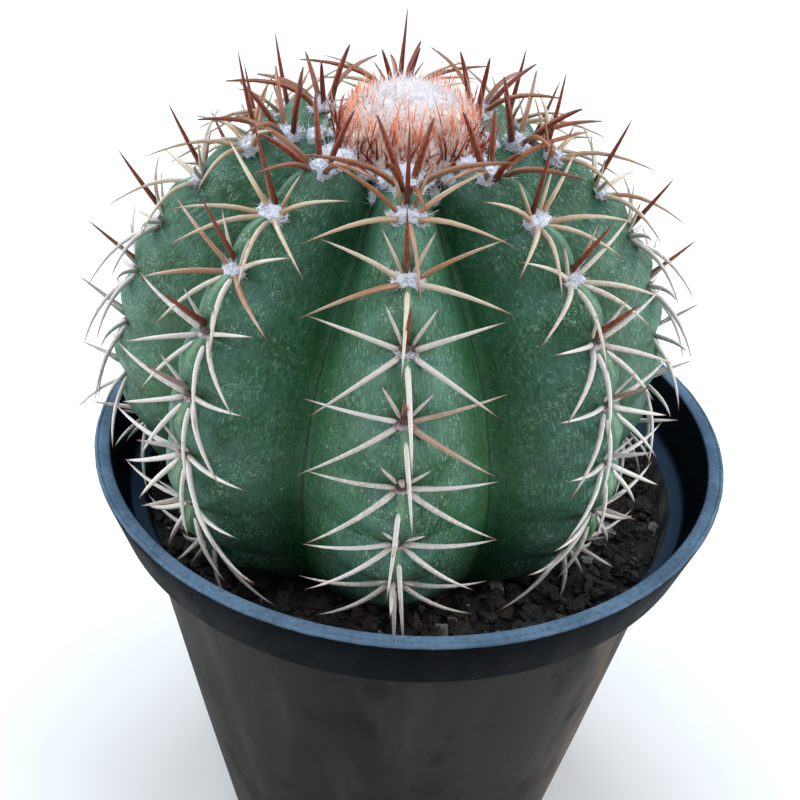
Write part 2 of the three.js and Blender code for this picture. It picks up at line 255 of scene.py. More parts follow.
def skin_points(column, distance):
    """Points of the stem's skin. Column counts ribs round the stem, distance is along the crest."""
    rib = np.round(column)
    across = np.abs(column - rib) * 2
    deepest = math.hypot(1, CREST_ROUNDING) - CREST_ROUNDING
    slope = ((np.hypot(across, CREST_ROUNDING) - CREST_ROUNDING) / deepest)[..., None]
    t = crest_at(distance)
    profile = spline(FURROW_LINE, t) * slope + spline(CREST_LINE, t) * (1 - slope)
    along = tangent(FURROW_LINE, t) * slope + tangent(CREST_LINE, t) * (1 - slope)
    along /= np.maximum(np.linalg.norm(along, axis=-1, keepdims=True), 1e-12)
    swell = FLANK_SWELL * np.sin(np.pi * across**1.3)
    out = hump(rib % RIBS, distance) * (1 - slope[..., 0]) ** HUMP_SPREAD
    out = out + swell * np.interp(distance, FLANK_RANGE, (0, 1, 1, 0))
    radius = np.maximum(profile[..., 0] - out * along[..., 1], 0)
    angle = FIRST_RIB_ANGLE + column * 2 * np.pi / RIBS
    height = profile[..., 1] + out * along[..., 0]
    return np.stack([radius * np.sin(angle), -radius * np.cos(angle), height], axis=-1)


draw_state = 20261


def draw():
    """A repeatable draw between -1 and 1, the same as in the solids."""
    global draw_state
    draw_state = (draw_state * 1664525 + 1013904223) % 4294967296
    return draw_state / 2147483648 - 1


def areole_frame(rib, distance):
    """Place of an areole, and its directions towards the crown, off the skin and sideways."""
    angle = FIRST_RIB_ANGLE + rib * 2 * math.pi / RIBS
    outward = np.array([math.sin(angle), -math.cos(angle), 0])
    side = np.array([math.cos(angle), math.sin(angle), 0])
    t = crest_at(distance)
    radius, height = spline(CREST_LINE, t)
    along = tangent(CREST_LINE, t)
    place = outward * radius + np.array([0, 0, height])
    up = -outward * along[0] - np.array([0, 0, along[1]])
    out = -outward * along[1] + np.array([0, 0, along[0]])
    return place, up, out, side


def spine_point(spine, share):
    return spine["foot"] + spine["length"] * (spine["aim"] * share + spine["bend"] * share**2)


def mouth_radius(height):
    """Radius of the pot's mouth at a height above the rim, which is below zero inside the pot."""
    if height < -SHELF_DEPTH:
        return WALL_RADIUS - WALL_THICKNESS
    return RIM_INNER_RADIUS + (RIM_INNER_RADIUS - SHELF_RADIUS) * min(height, 0) / SHELF_DEPTH


def touches(spine):
    """True where a spine comes too near to the soil, the pot's mouth or the woolly head."""
    for share in (0.25, 0.5, 0.75, 1):
        x, y, z = spine_point(spine, share)
        low = z < SOIL_CLEARANCE - SOIL_DEPTH
        at_rim = math.hypot(x + PLANT_SHIFT, y) > mouth_radius(z) - RIM_CLEARANCE and z < RIM_CLEARANCE
        by_head = math.hypot(x - HEAD_SHIFT, y) < HEAD_RADIUS + HEAD_CLEARANCE
        if low or at_rim or (by_head and z < HEAD_TOP + HEAD_CLEARANCE):
            return True
    return False


def make_spine(areole, kind, age):
    """A spine of one kind, raised and shortened until it is clear of its surroundings."""
    place, up, out, side = areole
    turn = math.radians(between(kind.turn, age) + TURN_JITTER * draw())
    lift = between(kind.lift, age) + LIFT_JITTER * draw()
    length = between(kind.length, age) * (1 + LENGTH_JITTER * draw())
    curl = math.tan(math.radians(between(kind.curl, age))) / 2
    flat = up * math.cos(turn) + side * math.sin(turn)
    spine = {"foot": place + flat * SPINE_RING, "age": age, "brown": kind.brown, "gold": kind.gold}
    for _ in range(CLEAR_TRIES):
        raised = math.radians(lift)
        spine.update(
            aim=flat * math.cos(raised) + out * math.sin(raised), length=length,
            bend=curl * (flat * math.sin(raised) - out * math.cos(raised)))
        if not touches(spine):
            break
        lift = min(lift + LIFT_STEP, STEEPEST_LIFT)
        length *= SHORTEN
    return spine


def areole_distances(rib):
    below = [FIRST_AREOLES[rib % 2] + i * AREOLE_SPACING for i in range(AREOLES_BELOW_TOP)]
    return [TOP_AREOLE] + below


# Meshes

def edit_all(operator, **settings):
    """Runs an operator on the whole mesh of the active piece."""
    bpy.ops.object.mode_set(mode="EDIT")
    bpy.ops.mesh.select_all(action="SELECT")
    operator(**settings)
    bpy.ops.object.mode_set(mode="OBJECT")


def finished(piece, smooth=True):
    """The active piece, with its place in its mesh and its faces pointing out."""
    bpy.ops.object.transform_apply(location=True, rotation=True, scale=True)
    edit_all(bpy.ops.mesh.normals_make_consistent, inside=False)
    if smooth:
        bpy.ops.object.shade_smooth()
    piece.select_set(False)
    return piece


def named(name):
    piece = bpy.context.object
    piece.name = name
    piece.data.name = name
    return piece


def set_points(piece, points):
    piece.data.vertices.foreach_set("co", (np.asarray(points) * MM).ravel())
    piece.data.update()


def get_points(piece):
    points = np.empty(len(piece.data.vertices) * 3)
    piece.data.vertices.foreach_get("co", points)
    return points.reshape(-1, 3)


def add_values(piece, name, values):
    attribute = piece.data.attributes.new(name, "FLOAT", "POINT")
    attribute.data.foreach_set("value", np.asarray(values, dtype=np.float32))


def pattern_of(piece):
    """The points and faces of a piece that was only made to be copied. The piece goes."""
    points = get_points(piece)
    faces = [list(polygon.vertices) for polygon in piece.data.polygons]
    bpy.data.objects.remove(piece)
    return points, faces


def copies(name, shapes, faces, smooth=True):
    """A new piece of many copies of a pattern: each copy's points in millimetres, and the pattern's faces."""
    shapes = np.asarray(shapes)
    count = shapes.shape[1]
    all_faces = [[v + k * count for v in face] for k in range(len(shapes)) for face in faces]
    mesh = bpy.data.meshes.new(name)
    mesh.from_pydata((shapes.reshape(-1, 3) * MM).tolist(), [], all_faces)
    mesh.polygons.foreach_set("use_smooth", [smooth] * len(all_faces))
    piece = bpy.data.objects.new(name, mesh)
    bpy.context.collection.objects.link(piece)
    return piece


def tube_pattern(sides, cuts):
    """A closed tube of unit radius and height, cut at some heights: its points and faces."""
    bpy.ops.mesh.primitive_cylinder_add(vertices=sides, radius=1, depth=1, location=(0, 0, 0.5))
    bpy.ops.object.transform_apply(location=True)
    for height in cuts:
        edit_all(bpy.ops.mesh.bisect, plane_co=(0, 0, height), plane_no=(0, 0, 1))
    return pattern_of(bpy.context.object)


def strands(name, curves, pattern, late=2.2, tip=0.06, flare=0):
    """Round strands, each a copy of one tube bent along its curve.
    A curve has foot, aim, bend, length and radius; root is how far it starts below its foot.
    A high value of late keeps a strand thick to near its tip, and flare swells its foot."""
    unit, faces = pattern
    share = unit[:, 2][None, :, None]
    foot, aim, bend = (np.array([c[key] for c in curves])[:, None, :] for key in ("foot", "aim", "bend"))
    length, radius = (np.array([c[key] for c in curves])[:, None, None] for key in ("length", "radius"))
    root, late, tip = (np.array([c.get(key, common) for c in curves])[:, None, None]
                       for key, common in (("root", 0), ("late", late), ("tip", tip)))
    across = np.cross(aim, bend)
    across /= np.linalg.norm(across, axis=-1, keepdims=True)
    heading = aim + 2 * bend * share
    heading /= np.linalg.norm(heading, axis=-1, keepdims=True)
    over = np.cross(heading, across)
    thick = radius * ((1 - tip) * (1 - share**late) ** 0.85 + tip + flare * np.exp(-share * 16))
    centre = foot + length * (aim * share + bend * share**2) - aim * root * (share == 0)
    points = centre + thick * (across * unit[:, 0][None, :, None] + over * unit[:, 1][None, :, None])
    piece = copies(name, points, faces)
    add_values(piece, "share", np.tile(unit[:, 2], len(curves)))
    for key in ("age", "brown", "gold", "tint", "upper"):
        add_values(piece, key, np.repeat([c.get(key, 0) for c in curves], len(unit)))
    return piece


def in_pot(points):
    """Moves points of the plant to where it stands in the pot."""
    return np.asarray(points) + np.array([PLANT_SHIFT, 0, POT_HEIGHT])


def make_skin():
    """The ribbed skin: a flat net rolled round the stem, from the crown down to the root."""
    bpy.ops.mesh.primitive_grid_add(x_subdivisions=SKIN_COLUMNS, y_subdivisions=SKIN_ROWS, size=2)
    skin = named("stem_skin")
    flat = get_points(skin)
    even = (1 - flat[:, 0]) / 2 * RIBS - 0.5
    column = even + CREST_CROWDING * np.sin(-2 * np.pi * even) / (2 * np.pi)
    distance = np.interp((1 - flat[:, 1]) / 2, [0, 0.9, 1], [0, SOIL_LINE, CREST_LENGTH])
    points = skin_points(column, distance)
    wave = np.array([noise.noise(Vector(p) * 0.06) for p in points])
    rough = np.array([noise.noise(Vector(p) * 0.35) for p in points])
    radial = points[:, :2] / np.maximum(np.linalg.norm(points[:, :2], axis=1, keepdims=True), 1)
    points[:, :2] += radial * (SKIN_WAVE * wave + SKIN_ROUGHNESS * rough)[:, None]
    set_points(skin, in_pot(points))
    rib = np.round(column)
    add_values(skin, "across", np.abs(column - rib) * 2)
    add_values(skin, "below", areole_share(rib % RIBS, distance)[0])
    edit_all(bpy.ops.mesh.remove_doubles, threshold=1e-5)
    return finished(skin)


def make_spines(seed=5):
    """All spines of the stem, where the solids have them, round and curled back."""
    tints = random.Random(seed)
    curves = []
    for rib in range(RIBS):
        for distance in areole_distances(rib):
            areole = areole_frame(rib, distance)
            age = areole_age(distance)
            kinds = TOP_SPINES if distance == TOP_AREOLE else SIDE_SPINES + LOWEST_SPINES[rib % 2]
            for kind in kinds:
                spine = make_spine(areole, kind, age)
                spine["foot"] = in_pot(spine["foot"])
                spine["root"] = SPINE_ROOT
                spine["radius"] = SPINE_RADIUS * kind.thick * tints.uniform(0.9, 1.08)
                spine["tint"] = tints.random()
                if distance == TOP_AREOLE:
                    spine.update(late=3.2, tip=0.24)
                curves.append(spine)
    return strands("spines", curves, tube_pattern(7, SPINE_CUTS), late=2.0, flare=0.22)


def unit_vector(vector):
    return vector / np.linalg.norm(vector)


def scatter(rng, amount):
    """A random step with no favoured direction."""
    return np.array([rng.gauss(0, amount) for _ in range(3)])


def tuft(rng, place, axes, sizes, length, count, age):
    """Short curled fibres all over a rounded pad of wool, whose axes point sideways, up and out."""
    curves = []
    while len(curves) < count:
        way = unit_vector(scatter(rng, 1))
        if way[2] < -0.25:
            continue
        foot = place + sum(axis * size * part * 0.86 for axis, size, part in zip(axes, sizes, way))
        aim = sum(axis * part for axis, part in zip(axes, way)) + scatter(rng, 0.8)
        curves.append({
            "foot": in_pot(foot), "aim": unit_vector(aim), "bend": scatter(rng, 0.9),
            "length": length * rng.uniform(0.45, 1.0), "radius": FIBRE_RADIUS * rng.uniform(0.7, 1.3),
            "age": age, "tint": rng.random(), "upper": way[1] + 0.5 * way[2],
        })
    return curves


def areole_age(distance):
    return min(max((distance - TOP_AREOLE) / (OLD_AREOLE - TOP_AREOLE), 0), 1)


def make_wool(seed=7):
    """The woolly pads of the areoles and the wool in the furrows round the head:
    felted lumps with curled fibres on them, large and loose when young."""
    rng = random.Random(seed)
    bpy.ops.mesh.primitive_ico_sphere_add(subdivisions=3, radius=1)
    unit, faces = pattern_of(bpy.context.object)
    lumps, ages, curves = [], [], []

    def add_pad(place, axes, sizes, age, length, count):
        """One lump of felt with its fibres."""
        shift = Vector([rng.uniform(-50, 50) for _ in range(3)])
        rough = [0.3 * noise.noise(Vector(p) * 2.2 + shift) + 0.3 * noise.noise(Vector(p) * 5.5 + shift)
                 for p in unit]
        shape = unit * (1 + np.array(rough))[:, None] * np.array(sizes) * 0.88
        side, up, out = axes
        lumps.append(place + shape[:, :1] * side + shape[:, 1:2] * up + shape[:, 2:] * out)
        ages.append(age)
        curves.extend(tuft(rng, place, axes, sizes, length, count, age))

    for rib in range(RIBS):
        for distance in areole_distances(rib):
            place, up, out, side = areole_frame(rib, distance)
            age = areole_age(distance)
            sizes = [float(np.interp(age, WOOL_AGES, row)) for row in WOOL_SIZES]
            count = int(np.interp(age, WOOL_AGES, AREOLE_FIBRES))
            add_pad(place, (side, up, out), sizes, age, between((1.0, 0.7), age), count)
    for rib in range(RIBS):
        for column, distance, sizes in FURROW_WOOL:
            place = skin_points(np.array([rib + column]), np.array([distance]))[0]
            out = unit_vector(place - np.array([0, 0, STEM_MIDDLE]))
            side = unit_vector(np.cross([0, 0, 1], out))
            swollen = [size * rng.uniform(0.8, 1.15) for size in sizes]
            add_pad(place, (side, np.cross(out, side), out), swollen, FURROW_AGE, 1.4, FURROW_FIBRES)
    felt = copies("wool_felt", in_pot(lumps), faces)
    add_values(felt, "age", np.repeat(ages, len(unit)))
    add_values(felt, "upper", np.tile(unit[:, 1] + 0.5 * unit[:, 2], len(lumps)))
    hairs = strands("wool_hairs", curves, tube_pattern(3, (0.5,)))
    return felt, hairs


def head_point(steep, angle, grow):
    """A point on the head: its dome for steep from 0 to 1, and its side wall below that."""
    tilt = min(steep, 1) * math.pi / 2
    radius = (HEAD_RADIUS + grow) * math.sin(tilt) + HEAD_SKIRT * min(max(steep - 1, 0) * 3, 1)
    height = HEAD_SHOULDER + (HEAD_TOP + grow - HEAD_SHOULDER) * math.cos(tilt)
    height -= max(steep - 1, 0) * HEAD_RADIUS * math.pi / 2
    return np.array([HEAD_SHIFT + radius * math.cos(angle), radius * math.sin(angle), height])


def head_strand(rng, steep, turn, length, radius, sunk, lean, spread):
    """A strand that grows from the head and points up, leaning out by a share of its steepness
    and curving back in."""
    tilt = min(steep, 1.25) * math.pi / 2 * lean + rng.gauss(0, spread)
    swing = turn + rng.gauss(0, 2 * spread)
    aim = np.array([math.sin(tilt) * math.cos(swing), math.sin(tilt) * math.sin(swing), math.cos(tilt)])
    inward = np.array([-math.cos(turn), -math.sin(turn), 0]) * HEAD_CURL * min(steep, 1)
    return {
        "foot": in_pot(head_point(steep, turn, -sunk)), "aim": aim, "bend": inward + scatter(rng, spread),
        "length": length, "radius": radius, "age": min(steep / STEEPEST, 1), "tint": rng.random(),
    }


def make_head(seed=11):
    """The woolly head: a felted dome, a fleece of fine fibres, the orange bristles and clusters of
    stronger dark needles round its foot."""
    rng = random.Random(seed)
    bpy.ops.mesh.primitive_uv_sphere_add(segments=128, ring_count=80, radius=1)
    dome = named("head_felt")
    points = get_points(dome)
    tilt = np.arccos(np.clip(points[:, 2], -1, 1))
    angle = np.arctan2(points[:, 1], points[:, 0])
    upper = tilt < math.pi / 2
    inner = HEAD_RADIUS - FELT_INSET
    flare = HEAD_SKIRT * np.clip((tilt - math.pi / 2) * 2, 0, 1)
    radius = np.where(upper, inner * np.sin(tilt), (inner + flare) * np.sin(tilt) ** 0.25)
    reach = np.where(upper, HEAD_TOP - FELT_INSET - HEAD_SHOULDER, HEAD_SHOULDER - HEAD_FOOT - 1)
    height = HEAD_SHOULDER + reach * np.cos(tilt)
    lumps = np.array([noise.noise(Vector(p) * 5) + 0.5 * noise.noise(Vector(p) * 14) for p in points])
    radius = radius + FELT_LUMP * lumps * np.sin(tilt)
    height = height + FELT_LUMP * lumps * np.cos(tilt)
    rolled = np.stack([HEAD_SHIFT + radius * np.cos(angle), radius * np.sin(angle), height], axis=1)
    set_points(dome, in_pot(rolled))
    finished(dome)

    fibres = []
    for _ in range(FLEECE_FIBRES):
        steep, turn = math.sqrt(rng.random()) * FLEECE_REACH, rng.uniform(0, 2 * math.pi)
        length = rng.uniform(1.2, 2.4)
        fibres.append(head_strand(rng, steep, turn, length, FLEECE_RADIUS, sunk=0.9, lean=0.5, spread=0.5))
    wool = strands("head_wool", fibres, tube_pattern(3, (0.5,)))

    needles = []
    while len(needles) < BRISTLES:
        steep, turn = math.sqrt(rng.random()) * BRISTLE_REACH, rng.uniform(0, 2 * math.pi)
        if rng.random() > np.interp(steep, *BRISTLE_SHARES):
            continue
        length = float(np.interp(steep, *BRISTLE_LENGTHS)) * rng.uniform(0.45, 1.1)
        radius = float(np.interp(steep, *BRISTLE_RADII)) * rng.uniform(0.6, 1.4)
        needles.append(head_strand(rng, steep, turn, length, radius, sunk=0.6, lean=0.12, spread=0.22))
    for cluster in range(CLUSTERS):
        middle = (cluster + rng.uniform(-0.3, 0.3)) * 2 * math.pi / CLUSTERS
        for _ in range(rng.randint(*CLUSTER_NEEDLES)):
            steep, turn = rng.uniform(0.98, 1.3), middle + rng.gauss(0, 0.1)
            length, radius = rng.uniform(5.5, 9.5), rng.uniform(0.2, 0.33)
            needle = head_strand(rng, steep, turn, length, radius, sunk=0.2, lean=0.26, spread=0.24)
            needle["brown"] = 1
            needles.append(needle)
    bristles = strands("head_bristles", needles, tube_pattern(4, (0.25, 0.5, 0.75)))
    return dome, wool, bristles


def ring(radius, height, previous):
    """Extrudes the selected ring of a turned shape out to a new radius and height."""
    bpy.ops.mesh.extrude_region_move(TRANSFORM_OT_translate={"value": (0, 0, (height - previous[1]) * MM)})
    size = radius / previous[0]
    bpy.ops.transform.resize(value=(size, size, 1), center_override=(0, 0, height * MM))
    return radius, height


def make_pot():
    """The pot's shell, drawn up ring by ring from its underside, over the rim and down inside."""
    def wall(height):
        return WALL_RADIUS - WALL_TAPER * (POT_HEIGHT - COLLAR_HEIGHT - height)

    foot, rim, top = wall(0), RIM_INNER_RADIUS, POT_HEIGHT
    collar, shelf = top - COLLAR_HEIGHT, top - SHELF_DEPTH
    outline = [
        (foot - 0.6, 0.5), (foot, FOOT_CHAMFER), (wall(40), 40), (wall(80), 80),
        (wall(collar - SHELF_THICKNESS), collar - SHELF_THICKNESS),
        (COLLAR_FOOT_RADIUS - COLLAR_FOOT_WIDTH, collar), (COLLAR_FOOT_RADIUS - 0.4, collar),
        (COLLAR_FOOT_RADIUS, collar + 0.4), (COLLAR_FOOT_RADIUS + 3, top - 5), (RIM_RADIUS - 0.1, top - 1.2),
        (RIM_RADIUS, top - 0.6), (RIM_RADIUS - 0.3, top - 0.1), (RIM_RADIUS - 0.7, top),
        (RIM_RADIUS - 1.0, top - 0.2), (RIM_RADIUS - 1.25, top - 0.2), (RIM_RADIUS - 1.45, top),
        (rim + 0.9, top), (rim + 0.3, top - 0.25), (rim - 0.3, top - 1.1),
        (SHELF_RADIUS + 0.3, shelf + SHELF_RISE + 1), (SHELF_RADIUS - 0.2, shelf + SHELF_RISE),
        (wall(shelf) - WALL_THICKNESS + 0.5, shelf + 0.1), (wall(shelf) - WALL_THICKNESS, shelf - 0.5),
        (wall(60) - WALL_THICKNESS, 60), (wall(FLOOR_THICKNESS) - WALL_THICKNESS, FLOOR_THICKNESS),
    ]
    start = (foot - FOOT_CHAMFER, 0)
    bpy.ops.mesh.primitive_circle_add(vertices=POT_SIDES, radius=start[0] * MM, fill_type="NGON")
    pot = named("pot_shell")
    bpy.ops.object.mode_set(mode="EDIT")
    bpy.ops.mesh.select_mode(type="EDGE")
    bpy.ops.mesh.select_all(action="DESELECT")
    bpy.ops.mesh.select_non_manifold()
    bpy.ops.mesh.extrude_edges_move(TRANSFORM_OT_translate={"value": (0, 0, outline[0][1] * MM)})
    size = outline[0][0] / start[0]
    bpy.ops.transform.resize(value=(size, size, 1), center_override=(0, 0, 0))
    previous = outline[0]
    for radius, height in outline[1:]:
        previous = ring(radius, height, previous)
    bpy.ops.mesh.edge_face_add()
    bpy.ops.object.mode_set(mode="OBJECT")
    points = get_points(pot) / MM
    far = np.hypot(points[:, 0], points[:, 1])
    edge = (far > RIM_RADIUS - 0.8) & (points[:, 2] > POT_HEIGHT - 0.7)
    ragged = np.array([noise.noise(Vector((x, y, 0)) * 0.5) + noise.noise(Vector((x, y, 9)) * 0.12)
                       for x, y in points[edge, :2]])
    points[edge, :2] *= (1 - RAGGED_EDGE * np.maximum(ragged, 0) / far[edge])[:, None]
    set_points(pot, points)
    bpy.ops.object.shade_smooth_by_angle(angle=math.radians(32))
    return finished(pot, smooth=False)


def drill(pot):
    """Cuts the drain holes through the floor of the pot."""
    for i in range(DRAIN_HOLES):
        angle = (i + 0.5) * 2 * math.pi / DRAIN_HOLES
        spot = (DRAIN_CIRCLE * MM * math.cos(angle), DRAIN_CIRCLE * MM * math.sin(angle), 0)
        bpy.ops.object.select_all(action="DESELECT")
        bpy.ops.mesh.primitive_cylinder_add(
            vertices=32, radius=DRAIN_RADIUS * MM, depth=4 * FLOOR_THICKNESS * MM, location=spot)
        bore = bpy.context.object
        cut = pot.modifiers.new("drain", "BOOLEAN")
        cut.operation = "DIFFERENCE"
        cut.solver = "EXACT"
        cut.object = bore
        bpy.context.view_layer.objects.active = pot
        bpy.ops.object.modifier_apply(modifier=cut.name)
        bpy.data.objects.remove(bore)


def soil_height(x, y):
    lump = np.sin(0.41 * x + 1.3) * np.cos(0.37 * y) + 0.6 * np.sin(0.83 * x - 0.71 * y)
    return POT_HEIGHT - SOIL_DEPTH + SOIL_LUMP * lump


def soil_radius(height):
    return WALL_RADIUS - WALL_THICKNESS - SEAT_GAP - WALL_TAPER * (POT_HEIGHT - COLLAR_HEIGHT - height)


def make_soil():
    """The bed of potting mix: a flat net rolled into a crumbly top and a plain filling below it."""
    bpy.ops.mesh.primitive_grid_add(x_subdivisions=SOIL_TURNS, y_subdivisions=SOIL_RINGS, size=2)
    bed = named("soil_bed")
    flat = get_points(bed)
    angle = (flat[:, 0] + 1) * math.pi
    share = (1 - flat[:, 1]) / 2
    top, bottom = POT_HEIGHT - SOIL_DEPTH, FLOOR_THICKNESS + SEAT_GAP
    radius = np.interp(share, [0, 0.12, 0.8, 0.9, 1], [0, 30, soil_radius(top), soil_radius(bottom), 0])
    x, y = radius * np.cos(angle), radius * np.sin(angle)
    height = soil_height(x, y)
    crumb = np.array([noise.noise(Vector((a, b, 0)) * 0.45) + 0.6 * noise.noise(Vector((a, b, 3)) * 1.1)
                      for a, b in zip(x, y)])
    height += np.where(share < 0.79, crumb * SOIL_CRUMB * np.clip((share - 0.1) * 5, 0, 1), 0)
    below = np.interp(share, [0.8, 0.9], [0, 1])
    height = height * (1 - below) + bottom * below
    set_points(bed, np.stack([x, y, height], axis=1))
    edit_all(bpy.ops.mesh.remove_doubles, threshold=1e-6)
    return finished(bed)


def make_chips(seed=3):
    """Loose chips of bark and crumbs on the soil, copied from one knobbly chip."""
    rng = random.Random(seed)
    bpy.ops.mesh.primitive_cube_add(size=1.5)
    edit_all(bpy.ops.mesh.subdivide, number_cuts=1, smoothness=0.6)
    unit, faces = pattern_of(bpy.context.object)
    unit = unit * np.array([1 + 0.5 * noise.noise(Vector(p) * 1.7) for p in unit])[:, None]
    shapes, tints = [], []
    while len(shapes) < CHIP_COUNT:
        angle, far = rng.uniform(0, 2 * math.pi), math.sqrt(rng.uniform(0.36, 1)) * CHIP_REACH
        x, y = far * math.cos(angle), far * math.sin(angle)
        size = rng.choice(CHIP_SIZES) * rng.uniform(0.8, 1.2)
        if far + size > CHIP_RING or math.hypot(x - PLANT_SHIFT, y) < STEM_RING + size:
            continue
        sizes = np.array([size, size * rng.uniform(0.5, 0.9), size * rng.uniform(0.3, 0.6)])
        turn = Matrix.Rotation(rng.uniform(0, 2 * math.pi), 3, "Z")
        turn = turn @ Matrix.Rotation(rng.gauss(0, 0.5), 3, "X")
        turn = np.array(turn @ Matrix.Rotation(rng.gauss(0, 0.4), 3, "Y"))
        middle = np.array([x, y, soil_height(x, y) + rng.uniform(0.1, 0.8) * sizes[2] + 0.3])
        shapes.append((unit * sizes) @ turn.T + middle)
        tints.append(rng.random())
    chips = copies("soil_chips", shapes, faces, smooth=False)
    add_values(chips, "tint", np.repeat(tints, len(unit)))
    return chips


# Finishes

def colour(red, green, blue):
    """A colour given as it shows on a screen, from 0 to 255."""
    shares = (red / 255, green / 255, blue / 255)
    return tuple(s / 12.92 if s < 0.04045 else ((s + 0.055) / 1.055) ** 2.4 for s in shares) + (1,)


class Nodes:
    """Makes nodes in one tree. An input is a plain value or another node's output."""

    def __init__(self, tree):
        self.tree = tree

    def add(self, kind, inputs=None, output=0, **settings):
        """One output of a new node that has these settings and inputs."""
        node = self.tree.nodes.new(kind)
        for key, value in settings.items():
            setattr(node, key, value)
        for key, value in (inputs or {}).items():
            if isinstance(value, bpy.types.NodeSocket):
                self.tree.links.new(value, node.inputs[key])
            else:
                node.inputs[key].default_value = value
        return node.outputs[output]

    def maths(self, operation, a, b):
        return self.add("ShaderNodeMath", {0: a, 1: b}, operation=operation)

    def times(self, first, *others):
        for value in others:
            first = self.maths("MULTIPLY", first, value)
        return first

    def spread(self, value, low, high, to_low=0, to_high=1):
        inputs = {"Value": value, "From Min": low, "From Max": high, "To Min": to_low, "To Max": to_high}
        return self.add("ShaderNodeMapRange", inputs, interpolation_type="SMOOTHSTEP")

    def blend(self, share, a, b):
        """The colour a where the share is 0, and b where it is 1."""
        a, b = (tone if isinstance(tone, bpy.types.NodeSocket) else colour(*tone) for tone in (a, b))
        return self.add("ShaderNodeMix", {0: share, 6: a, 7: b}, 2, data_type="RGBA")


def new_group(name, inputs, output):
    """A shared pattern's node group, with the sockets that give its inputs and take its result."""
    group = bpy.data.node_groups.new(name, "ShaderNodeTree")
    group.interface.new_socket("Vector", in_out="INPUT", socket_type="NodeSocketVector")
    for key in inputs:
        group.interface.new_socket(key, in_out="INPUT", socket_type="NodeSocketFloat")
    group.interface.new_socket(output, in_out="OUTPUT", socket_type="NodeSocketFloat")
    given = group.nodes.new("NodeGroupInput").outputs[:len(inputs) + 1]
    return group, given, group.nodes.new("NodeGroupOutput").inputs[0]


def make_mottle():
    """Soft patches: noise at a scale, spread between two limits."""
    group, (place, scale, low, high), result = new_group("mottle", ("Scale", "Low", "High"), "Value")
    nodes = Nodes(group)
    cloud = nodes.add("ShaderNodeTexNoise", {"Vector": place, "Scale": scale, "Detail": 5.0}, "Fac")
    group.links.new(nodes.spread(cloud, low, high), result)
    return group


def make_specks():
    """Scattered small dots: the middles of random cells, of which only a share has one."""
    group, (place, scale, size, share), result = new_group("specks", ("Scale", "Size", "Share"), "Mask")
    nodes = Nodes(group)
    cells = nodes.add("ShaderNodeTexVoronoi", {"Vector": place, "Scale": scale}, "Distance").node
    near = nodes.spread(cells.outputs["Distance"], size, nodes.times(size, 0.4))
    pick = nodes.add("ShaderNodeSeparateColor", {"Color": cells.outputs["Color"]})
    group.links.new(nodes.times(near, nodes.maths("LESS_THAN", pick, share)), result)
    return group


MOTTLE = make_mottle()
SPECKS = make_specks()


class Finish(Nodes):
    """A material whose patterns lie on the object's own coordinates, with its base colour so far."""

    def __init__(self, name, roughness, **fixed):
        self.material = bpy.data.materials.new(name)
        self.material.use_nodes = True
        super().__init__(self.material.node_tree)
        self.shader = self.tree.nodes["Principled BSDF"]
        self.shader.inputs["Roughness"].default_value = roughness
        for key, value in fixed.items():
            self.shader.inputs[key.replace("_", " ")].default_value = value
        self.here = self.add("ShaderNodeTexCoord", output="Object")
        self.base = None

    def attribute(self, name):
        return self.add("ShaderNodeAttribute", output="Fac", attribute_name=name)

    def along(self, axis, low, high):
        """A mask that goes from 0 to 1 between two places along x, y or z."""
        place = self.add("ShaderNodeSeparateXYZ", {0: self.here}, "XYZ".index(axis))
        return self.spread(place, low * MM, high * MM)

    def scaled(self, scale, place=None):
        return self.add("ShaderNodeMapping", {"Vector": place or self.here, "Scale": scale})

    def pattern(self, group, place, values):
        inputs = {0: place or self.here, **{i + 1: value for i, value in enumerate(values)}}
        return self.add("ShaderNodeGroup", inputs, node_tree=group)

    def mottle(self, scale, low=0.35, high=0.65, place=None):
        return self.pattern(MOTTLE, place, (scale, low, high))

    def specks(self, scale, size, share, place=None):
        return self.pattern(SPECKS, place, (scale, size, share))

    def cover(self, mask, tone, strength=1):
        """Lays a colour over the base where a mask says, at some strength."""
        if strength != 1:
            mask = self.times(mask, strength)
        self.base = self.blend(mask, self.base, tone)

    def shine(self, patches, low, high):
        """Varies the roughness between two values."""
        self.tree.links.new(self.spread(patches, 0, 1, low, high), self.shader.inputs["Roughness"])

    def done(self, relief=None, strength=0, depth=0):
        """The material, with its base colour and perhaps a relief, its depth in millimetres."""
        self.tree.links.new(self.base, self.shader.inputs["Base Color"])
        if relief:
            bump = {"Height": relief, "Strength": strength, "Distance": depth * MM}
            self.tree.links.new(self.add("ShaderNodeBump", bump), self.shader.inputs["Normal"])
        return self.material


